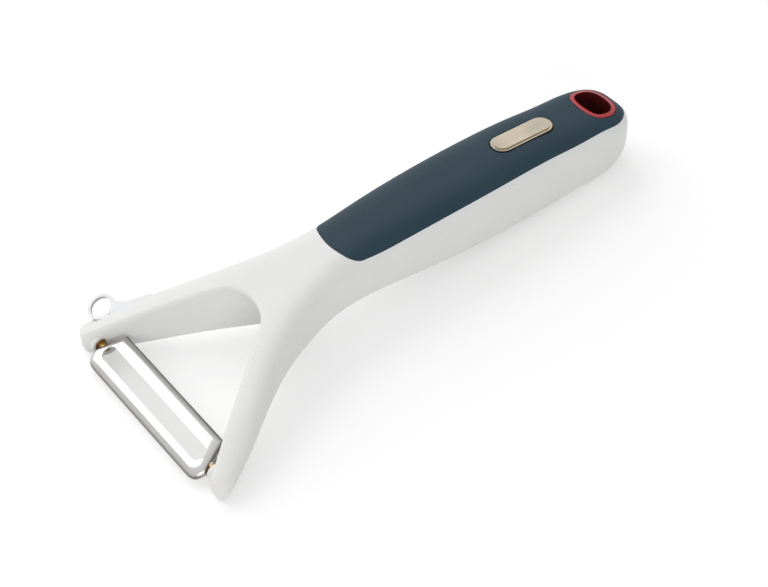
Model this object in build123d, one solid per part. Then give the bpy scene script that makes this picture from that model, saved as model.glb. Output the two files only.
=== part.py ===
from build123d import *
import math
import os

# A Y-shaped swivel vegetable peeler. All sizes are in millimetres.
# It is drawn with its handle level, the blade's pivot axis along X through the origin,
# the handle towards +Y and its soft grip up. At the end every piece is laid down
# together, so that the peeler lies on its two arm tips and the belly of its handle.

# How the handle, the neck and the outside of the head run from tip to heel.
# Each station is: distance from the pivot, half the width, top height, bottom height.
STATIONS = [
    (-8.0, 42.2, 0.4, -7.2),
    (-3.0, 39.2, 3.4, -5.2),
    (9.0, 32.8, 10.6, -1.3),
    (21.0, 24.9, 17.2, 2.4),
    (33.0, 17.9, 22.3, 5.4),
    (43.0, 14.0, 24.8, 7.4),
    (53.0, 11.6, 26.9, 9.2),
    (63.0, 11.1, 28.7, 9.9),
    (75.0, 11.7, 30.5, 9.8),
    (89.0, 12.5, 31.9, 9.3),
    (103.0, 12.9, 32.9, 9.1),
    (117.0, 12.9, 33.6, 9.2),
    (131.0, 12.6, 33.7, 9.8),
    (143.0, 12.3, 33.1, 10.8),
]
HEEL_REACH = 22.8
HEEL_MID_HEIGHT = 19.1
HEEL_SHARES = (0.25, 0.47, 0.66, 0.81, 0.91, 0.97, 0.994)
HEEL_WIDTH_POWER = 2.75
HEEL_TOP_POWER = 4.1
HEEL_BOTTOM_POWER = 2.3
HEAD_END = 15.0
NECK_END = 67.0
HEAD_POWERS = (9.0, 2.4)
HANDLE_POWERS = (3.5, 3.5)
QUADRANT_ANGLES = (0, 12, 24, 36, 48, 60, 70, 80)
BELOW = -12.0
ABOVE = 48.0
LYING_RANGE = (4.0, 8.0)
SURFACE_TOLERANCE = 0.02

# The open triangle between the two arms, and the rounded arm tips.
PIVOT_HALF_GAP = 30.2
GAP_TAPER = 0.7235
CROTCH_RADII = ((-12.0, 1.0), (2.0, 2.0), (9.0, 5.5), (21.0, 12.7), (34.0, 18.7), (48.0, 22.8))
GAP_EDGE_RADIUS = 1.2
NOSE_REACH = 3.9
NOSE_HALF_HEIGHT = 4.9
NOSE_MID_HEIGHT = 0.3
NOSE_POWER = 3.2
NOSE_EDGE_RADIUS = 0.8
OUTER_AT_PIVOT = 37.5
OUTER_TAPER = 0.57
TIP_CORNER_RADIUS = 3.6
BOSS_RADIUS = 2.7
BOSS_FACE = 29.5

# The blade. Its width runs along Y and its flat top faces up along Z before it is tilted.
# Each level is: height, reach in front, reach behind, half length, and how far in the inside lies.
BLADE_TILT = 24.2
BLADE_LEVELS = (
    (0.5, 6.4, 6.95, 28.7, 0.6),
    (1.05, 6.0, 6.55, 28.5, 0.42),
    (1.7, 5.35, 5.85, 27.95, 0.3),
    (2.15, 4.75, 5.2, 27.1, 0.3),
    (2.4, 3.9, 4.2, 25.5, 0.3),
)
BLADE_THICKNESS = 0.6
BLADE_SKIRT_BOTTOM = 0.1
BLADE_DEPTH = 5.0
BACK_CORNER_SETBACK = 3.85
END_SETBACK = 0.2
END_SHARE = 0.25
CORNER_SETBACK = 0.75
CORNER_SHARE = 0.74
FRONT_SETBACK = 6.4
EAR_RADIUS = 2.7
SLOT_LENGTH = 50.6
SLOT_WIDTH = 4.8

# The pivot: a bronze pin moulded into each arm, with a collar that shows in the arm's boss.
PIN_RADIUS = 1.2
PIN_CLEARANCE = 0.05
PIN_INNER_END = 27.3
PIN_OUTER_END = 33.6
COLLAR_RADIUS = 2.0
COLLAR_FACE = 29.2
COLLAR_OUTER_END = 31.6

# The soft grip, the carrier under it and the hollow of the handle.
GRIP_SIDE = [
    (9.8, 63.8),
    (10.7, 75.0),
    (11.25, 89.0),
    (11.5, 106.0),
    (11.2, 125.0),
    (10.75, 141.0),
    (10.35, 152.0),
    (9.0, 159.2),
    (5.6, 162.9),
]
GRIP_FRONT = 58.3
GRIP_FRONT_CORNER = (6.3, 59.3)
GRIP_CORNER_MIDDLE = (8.7, 60.9)
GRIP_REAR = 164.4
GRIP_START_HEIGHT = 20.0
SKIN_DEPTH = 1.6
CARRIER_DEPTH = 2.4
CARRIER_INSET = 1.8
HOLLOW_INSET = 2.8
WALL = 2.4
HOLLOW_FRONT = 66.0
HOLLOW_REAR = 146.0

# The hole to hang it up by, with its liner.
HOLE_CENTRE = 155.2
HOLE_HALF_WIDTH = 7.3
HOLE_FRONT_REACH = 5.3
HOLE_REAR_REACH = 6.0
HOLE_FRONT_POWER = 2.7
HOLE_REAR_POWER = 2.3
LINER_WALL = 1.25

# The bare badge plate.
BADGE_CENTRE = 127.7
BADGE_LENGTH = 21.4
BADGE_WIDTH = 7.0
BADGE_GAP = 0.2
BADGE_BOTTOM = 32.0
BADGE_RIM_TOP = 33.85
BADGE_TOP = 34.3
BADGE_RIM = 0.75
STUD_RADIUS = 1.2
STUD_SPACING = 12.0
STUD_BOTTOM = 29.0

# The eye remover: a stamped ring with a tang let into the outside of the left arm.
EYE_CENTRE = (-36.5, 4.85, 6.4)
EYE_SLOPE = 26.0
EYE_OUTER_RADIUS = 4.15
EYE_INNER_RADIUS = 3.25
EYE_THICKNESS = 1.0
TANG_OUTLINE = [
    (0.6, 3.65),
    (2.6, 4.6),
    (5.1, 6.3),
    (9.1, 12.6),
    (10.6, 11.6),
    (8.0, 6.8),
    (5.6, 2.0),
    (3.7, 0.4),
]


def powers_at(y):
    """How square the section is: a flat wedge at the head, a rounded box at the grip."""
    share = min(max((y - HEAD_END) / (NECK_END - HEAD_END), 0.0), 1.0)
    blend = share * share * (3.0 - 2.0 * share)
    across = HEAD_POWERS[0] + (HANDLE_POWERS[0] - HEAD_POWERS[0]) * blend
    upright = HEAD_POWERS[1] + (HANDLE_POWERS[1] - HEAD_POWERS[1]) * blend
    return across, upright


def signed_power(value, power):
    return math.copysign(abs(value) ** power, value)


def section(y, half_width, top, bottom, inset=0.0):
    """A closed ring round the handle, drawn as a superellipse."""
    across, upright = powers_at(y)
    wide = half_width - inset
    high = (top - bottom) / 2 - inset
    middle = (top + bottom) / 2
    points = []
    for quadrant in range(4):
        for step in QUADRANT_ANGLES:
            angle = math.radians(quadrant * 90 + step)
            x = wide * signed_power(math.cos(angle), 2 / across)
            z = middle + high * signed_power(math.sin(angle), 2 / upright)
            points.append((x, y, z))
    return Wire(Spline(points, periodic=True))


def rounded_off(share, power):
    """How much is left of a size part of the way along a superellipse."""
    return (1 - share ** power) ** (1 / power)


def heel_stations():
    """The rounded heel: the ring shrinks towards a point, latest at its top."""
    start, wide, top, bottom = STATIONS[-1]
    rows = []
    for share in HEEL_SHARES:
        narrow = wide * rounded_off(share, HEEL_WIDTH_POWER)
        high = HEEL_MID_HEIGHT + (top - HEEL_MID_HEIGHT) * rounded_off(share, HEEL_TOP_POWER)
        low = HEEL_MID_HEIGHT - (HEEL_MID_HEIGHT - bottom) * rounded_off(share, HEEL_BOTTOM_POWER)
        rows.append((start + HEEL_REACH * share, narrow, high, low))
    return rows


def handle_form():
    """The whole outside of the handle, neck and head, with nothing cut out."""
    rings = [section(*row) for row in STATIONS + heel_stations()]
    heel_tip = Vertex(0, STATIONS[-1][0] + HEEL_REACH, HEEL_MID_HEIGHT)
    return Solid.make_loft(rings + [heel_tip])


def upright_prism(face, low=BELOW, high=ABOVE):
    return extrude(Pos(0, 0, low) * face, high - low)


def gap_face(corner_radius):
    """The plan of the open triangle between the arms, with its rounded inner corner."""
    mouth = -14.0
    mouth_half = PIVOT_HALF_GAP - GAP_TAPER * mouth
    slant = math.atan(GAP_TAPER)
    apex = PIVOT_HALF_GAP / GAP_TAPER
    arc_centre = apex - corner_radius / math.sin(slant)
    touch_x = corner_radius * math.cos(slant)
    touch_y = arc_centre + corner_radius * math.sin(slant)
    left = Line((-mouth_half, mouth), (-touch_x, touch_y))
    corner = ThreePointArc(
        (-touch_x, touch_y), (0, arc_centre + corner_radius), (touch_x, touch_y)
    )
    right = Line((touch_x, touch_y), (mouth_half, mouth))
    close = Line((mouth_half, mouth), (-mouth_half, mouth))
    return make_face([left, corner, right, close])


def gap_cutter():
    """The open triangle: upright walls, and a corner that opens wider towards the top."""
    levels = [Pos(0, 0, height) * gap_face(radius) for height, radius in CROTCH_RADII]
    return loft(levels)


def corner_trim(side):
    """What is cut from an arm's outer front corner to round it, seen from above."""
    slope = math.atan(OUTER_TAPER)
    half_angle = (math.pi / 2 - slope) / 2
    reach = TIP_CORNER_RADIUS / math.tan(half_angle)
    corner_x = OUTER_AT_PIVOT + OUTER_TAPER * NOSE_REACH
    on_front = (corner_x - reach, -NOSE_REACH)
    on_side = (corner_x - reach * math.sin(slope), -NOSE_REACH + reach * math.cos(slope))
    arc = RadiusArc(on_front, on_side, -TIP_CORNER_RADIUS)
    rest = Polyline(on_side, (52, on_side[1]), (52, -14), (on_front[0], -14), on_front)
    trim = upright_prism(make_face([arc, rest]))
    return trim if side > 0 else mirror(trim, about=Plane.YZ)


def nose_trim():
    """What is cut away in front of the pivot to leave each arm a blunt, rounded nose."""
    front = Pos(0, -10, 0) * Box(100, 20, 60)
    points = []
    for step in range(0, 360, 15):
        angle = math.radians(step)
        y = NOSE_REACH * signed_power(math.cos(angle), 2 / NOSE_POWER)
        z = NOSE_MID_HEIGHT + NOSE_HALF_HEIGHT * signed_power(math.sin(angle), 2 / NOSE_POWER)
        points.append((y, z))
    outline = make_face([Spline(points, periodic=True)])
    return front - extrude(Plane.YZ * outline, 50, both=True)


def grip_face(inset=0.0):
    """The plan of the soft grip, seen from above, or drawn in from its edge all round."""
    side = []
    for x, y in GRIP_SIDE:
        pulled = inset * (y - HOLE_CENTRE) / (GRIP_REAR - HOLE_CENTRE) if y > HOLE_CENTRE else 0.0
        side.append((x - inset, y - pulled))
    side[0] = (side[0][0], side[0][1] + 0.4 * inset)
    rear = [(0, GRIP_REAR - inset)]
    edge = Spline(side + rear + [(-x, y) for x, y in reversed(side)],
                  tangents=[(0.12, 1), (0.12, -1)])
    corner = (GRIP_FRONT_CORNER[0] - 0.5 * inset, GRIP_FRONT_CORNER[1] + inset)
    middle = (GRIP_CORNER_MIDDLE[0] - 0.8 * inset, GRIP_CORNER_MIDDLE[1] + 0.8 * inset)
    left = ThreePointArc(edge @ 1, (-middle[0], middle[1]), (-corner[0], corner[1]))
    front = ThreePointArc(left @ 1, (0, GRIP_FRONT + inset), corner)
    right = ThreePointArc(front @ 1, middle, edge @ 0)
    return make_face([edge, left, front, right])


def hole_face(inset=0.0):
    """The plan of the hanging hole: blunt in front, rounder behind."""
    points = []
    for step in range(0, 360, 20):
        angle = math.radians(step)
        rear = math.sin(angle) > 0
        power = HOLE_REAR_POWER if rear else HOLE_FRONT_POWER
        reach = HOLE_REAR_REACH if rear else HOLE_FRONT_REACH
        x = (HOLE_HALF_WIDTH - inset) * signed_power(math.cos(angle), 2 / power)
        y = (reach - inset) * signed_power(math.sin(angle), 2 / power)
        points.append((x, HOLE_CENTRE + y))
    return make_face([Spline(points, periodic=True)])


def stadium(length, width):
    return Pos(0, BADGE_CENTRE) * Rot(0, 0, 90) * SlotOverall(length, width)


def eye_plane():
    slope = math.radians(EYE_SLOPE)
    return Plane(EYE_CENTRE, x_dir=(1, 0, 0), z_dir=(0, -math.sin(slope), math.cos(slope)))


def tang_face():
    return eye_plane() * make_face([Polyline(TANG_OUTLINE, close=True)])


def eye_remover():
    """A flat stamped ring whose tang lies in a slot in the arm."""
    plate = eye_plane() * Circle(EYE_OUTER_RADIUS) + tang_face()
    plate = plate - eye_plane() * Circle(EYE_INNER_RADIUS)
    return extrude(plate, EYE_THICKNESS / 2, both=True)


def eye_slot():
    """The slot in the arm that the whole stamping sits in."""
    plate = eye_plane() * Circle(EYE_OUTER_RADIUS) + tang_face()
    return extrude(plate, EYE_THICKNESS / 2, both=True)


def blade_outline(front, back, end):
    """The blade from above: a long back edge, ends that slant like the arms, round front corners."""
    side = [
        (end - BACK_CORNER_SETBACK, back),
        (end - END_SETBACK, -END_SHARE * front),
        (end - CORNER_SETBACK, -CORNER_SHARE * front),
        (end - FRONT_SETBACK, -front),
    ]
    slant = (side[1][0] - side[0][0], side[1][1] - side[0][1])
    other = [(-x, y) for x, y in side]
    lines = [
        Line(side[0], side[1]),
        Spline(side[1:], tangents=[slant, (-1, 0)]),
        Line(side[3], other[3]),
        Spline(other[:0:-1], tangents=[(-1, 0), (slant[0], -slant[1])]),
        Line(other[1], other[0]),
        Line(other[0], side[0]),
    ]
    return make_face(lines)


def blade_block(drop, drawn_in):
    """A block with the blade's outside, or with its inside when it is dropped and drawn in."""
    faces = []
    for height, front, back, end, wall in BLADE_LEVELS:
        inset = wall if drawn_in else 0.0
        outline = blade_outline(front - inset, back - inset, end - inset)
        faces.append(Pos(0, 0, height - drop) * outline)
    return loft(faces) + extrude(faces[0], -BLADE_DEPTH)


def blade_flat():
    """The blade before it is tilted: a flat strip with a skirt all round and an ear at each end."""
    strip = blade_block(0, False) - blade_block(BLADE_THICKNESS, True)
    ear = Rot(0, 90, 0) * Cylinder(EAR_RADIUS, 100)
    above = Pos(0, 0, 25 + BLADE_SKIRT_BOTTOM) * Box(100, 40, 50)
    strip = strip & (ear + above)
    slot = extrude(SlotOverall(SLOT_LENGTH, SLOT_WIDTH), 10, both=True)
    pin_hole = Rot(0, 90, 0) * Cylinder(PIN_RADIUS + PIN_CLEARANCE, 100)
    return strip - slot - pin_hole


def blade():
    return Rot(BLADE_TILT, 0, 0) * blade_flat()


def rod(side, radius, start, end):
    """A round bar along the pivot axis, on one side of the middle."""
    bar = Rot(0, 90, 0) * Cylinder(radius, end - start)
    return Pos(side * (start + end) / 2, 0, 0) * bar


def pivot_pin(side):
    shaft = rod(side, PIN_RADIUS, PIN_INNER_END, PIN_OUTER_END)
    rims = shaft.edges().filter_by(GeomType.CIRCLE)
    shaft = chamfer(rims, 0.25)
    return shaft + rod(side, COLLAR_RADIUS, COLLAR_FACE, COLLAR_OUTER_END)


def seat(face, lowered_form):
    """The space above a lowered copy of the handle, inside one plan outline."""
    return upright_prism(face, GRIP_START_HEIGHT) - lowered_form


def rounded_head(form):
    """The form with the open triangle cut out and its edges and arm tips rounded."""
    head = form - gap_cutter()
    walls = [e for e in head.edges() if e.center().Y < 45 and e.length > 20]
    head = head.fillet(GAP_EDGE_RADIUS, walls)
    head = head - nose_trim()
    tips = [e for e in head.edges() if e.bounding_box().max.Y < 4.0]
    head = head.fillet(NOSE_EDGE_RADIUS, tips)
    return head - corner_trim(1) - corner_trim(-1)


def handle_body(form, skin_seat, carrier_seat):
    body = rounded_head(form)
    body = body - skin_seat - carrier_seat - handle_hollow()
    body = body - upright_prism(hole_face())
    for side in (1, -1):
        body = body + rod(side, BOSS_RADIUS, BOSS_FACE, PIN_OUTER_END)
        body = body - rod(side, COLLAR_RADIUS, COLLAR_FACE, COLLAR_OUTER_END)
        body = body - rod(side, PIN_RADIUS, PIN_INNER_END, PIN_OUTER_END)
    return body - eye_slot()


def handle_hollow():
    """The hollow under the carrier: the handle's form drawn in by one wall."""
    rows = [row for row in STATIONS if 50 < row[0]]
    form = Solid.make_loft([section(*row, inset=WALL) for row in rows])
    plan = grip_face(HOLLOW_INSET)
    middle = (HOLLOW_FRONT + HOLLOW_REAR) / 2
    window = Pos(0, middle) * Rectangle(60, HOLLOW_REAR - HOLLOW_FRONT)
    return form & upright_prism(plan & window)


def badge_studs():
    height = BADGE_BOTTOM - STUD_BOTTOM
    studs = []
    for side in (-1, 1):
        y = BADGE_CENTRE + side * STUD_SPACING / 2
        studs.append(Pos(0, y, STUD_BOTTOM + height / 2) * Cylinder(STUD_RADIUS, height))
    return studs


def badge_plate():
    """A bare stadium plate with a lower rim round a raised middle and two studs below."""
    rim = extrude(Pos(0, 0, BADGE_BOTTOM) * stadium(BADGE_LENGTH, BADGE_WIDTH),
                  BADGE_RIM_TOP - BADGE_BOTTOM)
    inner = stadium(BADGE_LENGTH - 2 * BADGE_RIM, BADGE_WIDTH - 2 * BADGE_RIM)
    top = extrude(Pos(0, 0, BADGE_RIM_TOP) * inner, BADGE_TOP - BADGE_RIM_TOP)
    plate = rim + top
    for stud in badge_studs():
        plate = plate + stud
    return plate


def badge_pocket():
    face = stadium(BADGE_LENGTH + 2 * BADGE_GAP, BADGE_WIDTH + 2 * BADGE_GAP)
    return upright_prism(face, BADGE_BOTTOM)


def soft_grip(form, skin_seat):
    skin = (form & skin_seat) - upright_prism(hole_face()) - badge_pocket()
    for stud in badge_studs():
        skin = skin - stud
    return skin


def grip_carrier(skin_base, carrier_seat):
    carrier = (skin_base & carrier_seat) - upright_prism(hole_face()) - badge_pocket()
    for stud in badge_studs():
        carrier = carrier - stud
    return carrier


def hole_liner(form):
    tube = upright_prism(hole_face()) - upright_prism(hole_face(LINER_WALL))
    return tube & form


def build_pieces():
    form = handle_form()
    skin_base = Pos(0, 0, -SKIN_DEPTH) * form
    carrier_base = Pos(0, 0, -SKIN_DEPTH - CARRIER_DEPTH) * form
    skin_seat = seat(grip_face(), skin_base)
    carrier_seat = seat(grip_face(CARRIER_INSET), carrier_base)
    return {
        "handle_body": handle_body(form, skin_seat, carrier_seat),
        "grip_carrier": grip_carrier(skin_base, carrier_seat),
        "soft_grip": soft_grip(form, skin_seat),
        "hanging_hole_liner": hole_liner(form),
        "badge_plate": badge_plate(),
        "blade": blade(),
        "pivot_pin_right": pivot_pin(1),
        "pivot_pin_left": pivot_pin(-1),
        "eye_remover": eye_remover(),
    }


def surface_points(piece):
    return piece.tessellate(SURFACE_TOLERANCE)[0]


def lowest(points, angle):
    turn = math.radians(angle)
    return min(p.Z * math.cos(turn) - p.Y * math.sin(turn) for p in points)


def lying_angle(points):
    """How far the level handle turns down until its tips and its belly are equally low."""
    tips = [p for p in points if p.Y < HEAD_END]
    belly = [p for p in points if p.Y > NECK_END]
    low, high = LYING_RANGE
    for _ in range(14):
        middle = (low + high) / 2
        if lowest(belly, middle) > lowest(tips, middle):
            low = middle
        else:
            high = middle
    return (low + high) / 2


def lay_down(pieces):
    """Turn all the pieces together, and put the origin under the middle of the whole."""
    angle = lying_angle(surface_points(pieces["handle_body"]))
    turned = {name: Rot(-angle, 0, 0) * piece for name, piece in pieces.items()}
    points = [p for piece in turned.values() for p in surface_points(piece)]
    middle_x = (min(p.X for p in points) + max(p.X for p in points)) / 2
    middle_y = (min(p.Y for p in points) + max(p.Y for p in points)) / 2
    down = Pos(-middle_x, -middle_y, -min(p.Z for p in points))
    print("turned down by", round(angle, 3), "degrees, then moved by", down.position)
    return {name: down * piece for name, piece in turned.items()}


if __name__ == "__main__":
    os.makedirs("parts", exist_ok=True)
    laid = lay_down(build_pieces())
    for name, piece in laid.items():
        print(name, round(piece.volume, 1), "mm3")
        export_step(piece, "parts/" + name + ".step")
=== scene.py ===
import math

import bmesh
import bpy
from mathutils import Matrix, Vector

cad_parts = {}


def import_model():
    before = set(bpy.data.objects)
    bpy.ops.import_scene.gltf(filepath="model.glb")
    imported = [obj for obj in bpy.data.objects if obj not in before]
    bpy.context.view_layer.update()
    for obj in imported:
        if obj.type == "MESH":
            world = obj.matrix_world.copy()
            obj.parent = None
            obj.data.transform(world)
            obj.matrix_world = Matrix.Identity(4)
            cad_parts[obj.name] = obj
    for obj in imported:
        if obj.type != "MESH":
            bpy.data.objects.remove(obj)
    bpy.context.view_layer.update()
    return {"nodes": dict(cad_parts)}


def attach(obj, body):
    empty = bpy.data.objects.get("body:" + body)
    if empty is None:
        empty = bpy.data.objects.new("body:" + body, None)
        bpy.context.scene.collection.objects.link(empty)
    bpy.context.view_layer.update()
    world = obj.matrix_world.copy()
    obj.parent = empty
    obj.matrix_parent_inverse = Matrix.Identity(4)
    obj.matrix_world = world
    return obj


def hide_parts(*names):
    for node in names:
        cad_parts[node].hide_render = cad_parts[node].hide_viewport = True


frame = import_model()
nodes = frame["nodes"]


# Small helpers for building node materials

class Nodes:
    """A material's node tree, with short calls to add and join nodes."""

    def __init__(self, name):
        self.material = bpy.data.materials.new(name)
        self.material.use_nodes = True
        self.tree = self.material.node_tree
        self.tree.nodes.clear()
        self.output = self.add("ShaderNodeOutputMaterial")
        coordinates = self.add("ShaderNodeTexCoord")
        self.place = coordinates.outputs["Object"]
        self.normals = coordinates.outputs["Normal"]

    def add(self, kind, **settings):
        node = self.tree.nodes.new(kind)
        for key, value in settings.items():
            setattr(node, key, value)
        return node

    def join(self, source, target):
        self.tree.links.new(source, target)

    def stretch(self, factors):
        """The object's own coordinates, stretched by three factors."""
        mapping = self.add("ShaderNodeMapping")
        mapping.inputs["Scale"].default_value = factors
        self.join(self.place, mapping.inputs["Vector"])
        return mapping.outputs["Vector"]

    def noise(self, factors, scale, detail=4.0, roughness=0.5):
        node = self.add("ShaderNodeTexNoise")
        node.inputs["Scale"].default_value = scale
        node.inputs["Detail"].default_value = detail
        node.inputs["Roughness"].default_value = roughness
        self.join(self.stretch(factors), node.inputs["Vector"])
        return node.outputs["Fac"]

    def between(self, value, low, high, spread=(0.3, 0.7)):
        """Spread a 0 to 1 value over low to high."""
        node = self.add("ShaderNodeMapRange")
        node.inputs["From Min"].default_value = spread[0]
        node.inputs["From Max"].default_value = spread[1]
        node.inputs["To Min"].default_value = low
        node.inputs["To Max"].default_value = high
        self.join(value, node.inputs["Value"])
        return node.outputs["Result"]

    def stops(self, value, colors):
        """A colour that runs through several stops with the value."""
        node = self.add("ShaderNodeValToRGB")
        elements = node.color_ramp.elements
        while len(elements) < len(colors):
            elements.new(1.0)
        for element, (position, color) in zip(elements, colors):
            element.position = position
            element.color = (*color, 1)
        self.join(value, node.inputs["Fac"])
        return node.outputs["Color"]

    def tint(self, value, low, high, spread=(0.3, 0.7)):
        """A colour that runs from low to high with the value."""
        return self.stops(value, [(spread[0], low), (spread[1], high)])

    def facing(self, direction):
        """How far the surface faces a direction, from the object's own normals."""
        node = self.add("ShaderNodeVectorMath", operation="DOT_PRODUCT")
        node.inputs[1].default_value = direction
        self.join(self.normals, node.inputs[0])
        return node.outputs["Value"]

    def multiply(self, first, second):
        """Two colours, multiplied."""
        node = self.add("ShaderNodeMix", data_type="RGBA", blend_type="MULTIPLY")
        node.inputs["Factor"].default_value = 1.0
        self.join(first, node.inputs["A"])
        self.join(second, node.inputs["B"])
        return node.outputs["Result"]

    def bump(self, height, distance, strength=1.0, before=None):
        node = self.add("ShaderNodeBump")
        node.inputs["Strength"].default_value = strength
        node.inputs["Distance"].default_value = distance
        self.join(height, node.inputs["Height"])
        if before is not None:
            self.join(before, node.inputs["Normal"])
        return node.outputs["Normal"]

    def shader(self, color=None, roughness=None, normal=None, **constants):
        node = self.add("ShaderNodeBsdfPrincipled")
        for name, value in constants.items():
            node.inputs[name.replace("_", " ")].default_value = value
        for name, source in (("Base Color", color), ("Roughness", roughness), ("Normal", normal)):
            if source is not None:
                self.join(source, node.inputs[name])
        self.join(node.outputs["BSDF"], self.output.inputs["Surface"])
        return node


def white_plastic():
    """White moulded plastic: a soft satin shine with a faint orange peel."""
    n = Nodes("white_plastic")
    cloud = n.noise((1, 1, 1), 60, 3)
    fine = n.noise((1, 1, 1), 900, 3)
    color = n.tint(cloud, (0.815, 0.82, 0.80), (0.84, 0.84, 0.825))
    rough = n.between(fine, 0.27, 0.34)
    wave = n.bump(n.noise((1, 1, 1), 120, 1), 0.000012)
    normal = n.bump(n.noise((1, 1, 1), 1500, 1), 0.0000015, before=wave)
    n.shader(color, rough, normal, IOR=1.5, Subsurface_Weight=0.06, Subsurface_Scale=0.002)
    return n.material


def carrier_plastic():
    n = Nodes("carrier_plastic")
    color = n.tint(n.noise((1, 1, 1), 80, 3), (0.70, 0.70, 0.69), (0.74, 0.74, 0.73))
    rough = n.between(n.noise((1, 1, 1), 1200, 3), 0.45, 0.6)
    n.shader(color, rough, IOR=1.5)
    return n.material


def soft_rubber():
    """Dark blue-grey soft-touch rubber: matt, with a very fine spark-eroded grain."""
    n = Nodes("soft_rubber")
    cloud = n.noise((1, 1, 1), 45, 4)
    grain = n.noise((1, 1, 1), 5200, 2)
    color = n.tint(cloud, (0.015, 0.038, 0.056), (0.019, 0.046, 0.066))
    rough = n.between(grain, 0.50, 0.62)
    slow = n.bump(n.noise((1, 1, 1), 300, 3), 0.00003)
    normal = n.bump(grain, 0.000012, before=slow)
    n.shader(color, rough, normal, IOR=1.5, Specular_IOR_Level=0.25)
    return n.material


def red_plastic():
    """Red plastic, bright on the rim, with painted shade down the hole's wall, where the colour turns deep
    and dark.
    """
    n = Nodes("red_plastic")
    cloud = n.tint(n.noise((1, 1, 1), 120, 3), (0.86, 0.84, 0.84), (1.0, 1.0, 1.0))
    # painted shade: where the surface turns from facing up, as down the hole's wall, the red is darkened
    rim = n.tint(n.facing((0, 0, 1)), (0.10, 0.010, 0.010), (0.50, 0.024, 0.028), (0.15, 0.75))
    color = n.multiply(cloud, rim)
    rough = n.between(n.noise((1, 1, 1), 1500, 3), 0.25, 0.36)
    normal = n.bump(n.noise((1, 1, 1), 400, 2), 0.00002)
    n.shader(color, rough, normal, IOR=1.5)
    return n.material


# The way that the blade's flat top faces, and a painted reflection: how dark the steel's colour is made as
# its surface turns away from that, darkest on the sloping skirts, standing in for the dark surroundings they
# reflect

BLADE_FACE = (0, -0.315, 0.949)
PAINTED_REFLECTION_RAMP = [
    (0.36, (0.85, 0.84, 0.83)),
    (0.50, (0.26, 0.25, 0.24)),
    (0.64, (0.40, 0.39, 0.37)),
    (0.73, (0.80, 0.79, 0.77)),
    (0.86, (0.90, 0.89, 0.88)),
    (0.97, (1.0, 1.0, 1.0)),
]


def brushed_metal(name, dark, bright, rough, along, face=None):
    """Ground or brushed metal, with its fine scratches running along one axis.

    What turns away from the given face is coloured darker, as a painted reflection of dark surroundings, and
    darkest at its rim."""
    n = Nodes(name)
    lanes = {"x": (40, 2600, 2600), "y": (2600, 40, 2600), "all": (900, 900, 900)}[along]
    streak = n.noise(lanes, 1.0, 5, 0.6)
    cloud = n.noise((1, 1, 1), 70, 3)
    color = n.tint(cloud, dark, bright)
    # painted reflection: the steel's colour is darkened by how far the surface turns away from the given face
    if face is not None:
        color = n.multiply(color, n.stops(n.facing(face), PAINTED_REFLECTION_RAMP))
    roughness = n.between(streak, rough[0], rough[1])
    normal = n.bump(streak, 0.000006)
    shader = n.shader(color, roughness, normal, Metallic=1.0)
    if along != "all":
        shader.inputs["Anisotropic"].default_value = 0.35
    return n.material


WHITE = white_plastic()
CARRIER = carrier_plastic()
RUBBER = soft_rubber()
RED = red_plastic()
BLADE_STEEL = brushed_metal("blade_steel_look", (0.55, 0.547, 0.54), (0.61, 0.607, 0.60), (0.18, 0.30), "x",
                            BLADE_FACE)
SHEET_STEEL = brushed_metal("sheet_steel_look", (0.35, 0.352, 0.36), (0.41, 0.412, 0.42), (0.24, 0.34), "all")
BADGE_METAL = brushed_metal("badge_metal_look", (0.42, 0.37, 0.29), (0.52, 0.46, 0.37), (0.3, 0.45), "y")
BRONZE = brushed_metal("bronze_look", (0.33, 0.20, 0.09), (0.45, 0.29, 0.14), (0.25, 0.4), "all")


def dress(node, material):
    """Give a CAD node its better material."""
    data = nodes[node].data
    data.materials.clear()
    data.materials.append(material)


LOOKS = {
    "handle_body": WHITE,
    "grip_carrier": CARRIER,
    "soft_grip": RUBBER,
    "hanging_hole_liner": RED,
    "badge_plate": BADGE_METAL,
    "blade": BLADE_STEEL,
    "pivot_pin_right": BRONZE,
    "pivot_pin_left": BRONZE,
    "eye_remover": SHEET_STEEL,
}
for node_name, look in LOOKS.items():
    dress(node_name, look)


# The soft grip: the skin's own form, remade as one even mesh with eased edges

GRIP_VOXEL = 0.00028
EASING_ROUNDS = 4


def soft_skin():
    data = nodes["soft_grip"].data.copy()
    skin = bpy.data.objects.new("soft_grip_skin", data)
    bpy.context.scene.collection.objects.link(skin)
    skin.matrix_world = nodes["soft_grip"].matrix_world
    remesh = skin.modifiers.new("even", "REMESH")
    remesh.mode = "VOXEL"
    remesh.voxel_size = GRIP_VOXEL
    remesh.use_smooth_shade = True
    smooth = skin.modifiers.new("eased", "SMOOTH")
    smooth.factor = 0.5
    smooth.iterations = EASING_ROUNDS
    skin.data.materials.clear()
    skin.data.materials.append(RUBBER)
    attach(skin, "handle")
    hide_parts("soft_grip")


soft_skin()


# The floor and the light

SEEN_RAYS = ("Is Camera Ray", "Is Glossy Ray", "Is Transmission Ray")


def seen_level(tree, unseen):
    """1 where the eye, a reflection or a clear material looks, and the given level for plain light."""
    path = tree.nodes.new("ShaderNodeLightPath")
    level = None
    for ray in SEEN_RAYS:
        most = tree.nodes.new("ShaderNodeMath")
        most.operation = "MAXIMUM"
        most.inputs[1].default_value = unseen
        if level is not None:
            tree.links.new(level, most.inputs[1])
        tree.links.new(path.outputs[ray], most.inputs[0])
        level = most.outputs[0]
    return level


FLOOR_LIFT = 0.35
FAR_FLOOR_LIFT = 0.66
FAR_FLOOR_SPREAD = (0.35, 1.2)
FLOOR_HALF_WIDTH = 3.0
FLOOR_DROP = 0.0002


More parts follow.
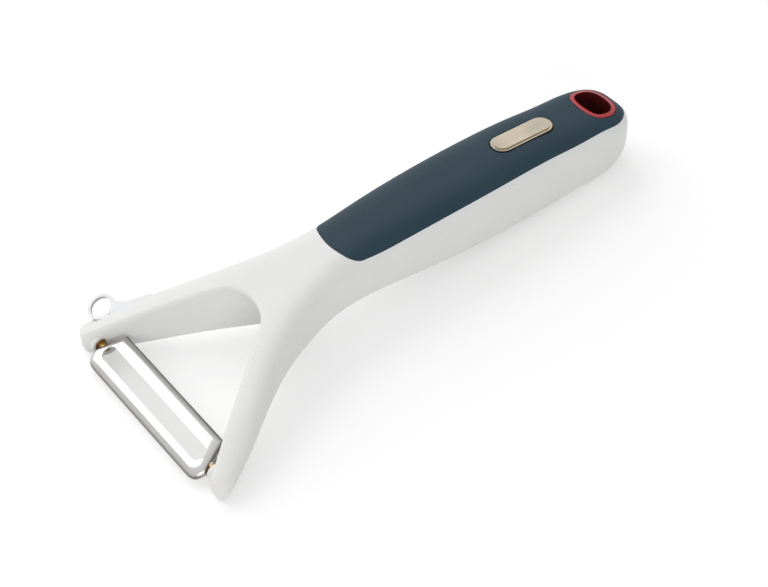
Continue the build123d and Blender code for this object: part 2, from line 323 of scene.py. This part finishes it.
def floor_material():
    """A pale floor that takes the shadow, and reads as white where it has none.

    Far out, where the lamps hardly reach it, it is lifted more."""
    n = Nodes("floor_pale")
    color = n.tint(n.noise((1, 1, 1), 3, 2), (0.80, 0.80, 0.80), (0.81, 0.81, 0.81))
    diffuse = n.add("ShaderNodeBsdfDiffuse")
    n.join(color, diffuse.inputs["Color"])
    glow = n.add("ShaderNodeEmission")
    far = n.add("ShaderNodeVectorMath", operation="LENGTH")
    n.join(n.place, far.inputs[0])
    lift = n.add("ShaderNodeMath", operation="MULTIPLY")
    n.join(n.between(far.outputs["Value"], FLOOR_LIFT, FAR_FLOOR_LIFT, FAR_FLOOR_SPREAD), lift.inputs[1])
    n.join(seen_level(n.tree, 0.0), lift.inputs[0])
    n.join(lift.outputs[0], glow.inputs["Strength"])
    total = n.add("ShaderNodeAddShader")
    n.join(diffuse.outputs[0], total.inputs[0])
    n.join(glow.outputs[0], total.inputs[1])
    n.join(total.outputs[0], n.output.inputs["Surface"])
    return n.material


def floor():
    mesh = bpy.data.meshes.new("floor")
    build = bmesh.new()
    bmesh.ops.create_grid(build, x_segments=2, y_segments=2, size=FLOOR_HALF_WIDTH)
    build.to_mesh(mesh)
    build.free()
    plane = bpy.data.objects.new("floor", mesh)
    plane.location.z = -FLOOR_DROP
    mesh.materials.append(floor_material())
    bpy.context.scene.collection.objects.link(plane)


floor()


WORLD_LEVEL = 0.51


def world():
    """White where the eye, a reflection or a clear material looks. Plain light is level."""
    scene = bpy.context.scene
    scene.world = bpy.data.worlds.new("studio")
    scene.world.use_nodes = True
    tree = scene.world.node_tree
    tree.nodes.clear()
    out = tree.nodes.new("ShaderNodeOutputWorld")
    background = tree.nodes.new("ShaderNodeBackground")
    background.inputs["Color"].default_value = (1, 1, 1, 1)
    tree.links.new(seen_level(tree, WORLD_LEVEL), background.inputs["Strength"])
    tree.links.new(background.outputs[0], out.inputs["Surface"])


world()


def area_lamp(name, place, aim, width, height, power):
    data = bpy.data.lights.new(name, "AREA")
    data.shape = "RECTANGLE"
    data.size = width
    data.size_y = height
    data.energy = power
    lamp = bpy.data.objects.new(name, data)
    lamp.location = place
    lamp.rotation_euler = (Vector(aim) - Vector(place)).to_track_quat("-Z", "Y").to_euler()
    bpy.context.scene.collection.objects.link(lamp)


area_lamp("key", place=(-0.86, -0.10, 0.70), aim=(0, 0, 0), width=1.5, height=1.3, power=8.2)
area_lamp("fill", place=(0.86, -0.62, 0.32), aim=(0, 0, 0.01), width=0.8, height=0.5, power=3.4)


# The part was drawn with its handle level. This is how it was then laid down: first
# turned about the X axis, then moved.

LAID_DOWN = Matrix.Rotation(math.radians(-5.749), 4, "X")
MOVED = Matrix.Translation((0.0017609, -0.0805404, 0.00405784))
TO_ROW = MOVED @ LAID_DOWN

# The camera, fitted to the photograph's outlines with the handle level

CAMERA_PLACE = Vector((0.32312, -0.16321, 0.38107))
CAMERA_RIGHT = Vector((0.5979, 0.8016, 0.0))
CAMERA_UP = Vector((-0.5520, 0.4118, 0.7251))
FOCAL_PIXELS = 1900
PICTURE_WIDTH = 768
SENSOR_WIDTH = 36


def camera():
    scene = bpy.context.scene
    data = bpy.data.cameras.new("camera")
    data.sensor_fit = "HORIZONTAL"
    data.sensor_width = SENSOR_WIDTH
    data.lens = SENSOR_WIDTH * FOCAL_PIXELS / PICTURE_WIDTH
    data.clip_start = 0.01
    data.clip_end = 20
    body = bpy.data.objects.new("camera", data)
    right = CAMERA_RIGHT.normalized()
    back = right.cross(CAMERA_UP).normalized()
    up = back.cross(right)
    turn = Matrix((right, up, back)).transposed().to_4x4()
    body.matrix_world = TO_ROW @ Matrix.Translation(CAMERA_PLACE) @ turn
    scene.collection.objects.link(body)
    scene.camera = body


camera()
bpy.context.scene.view_settings.view_transform = "Standard"
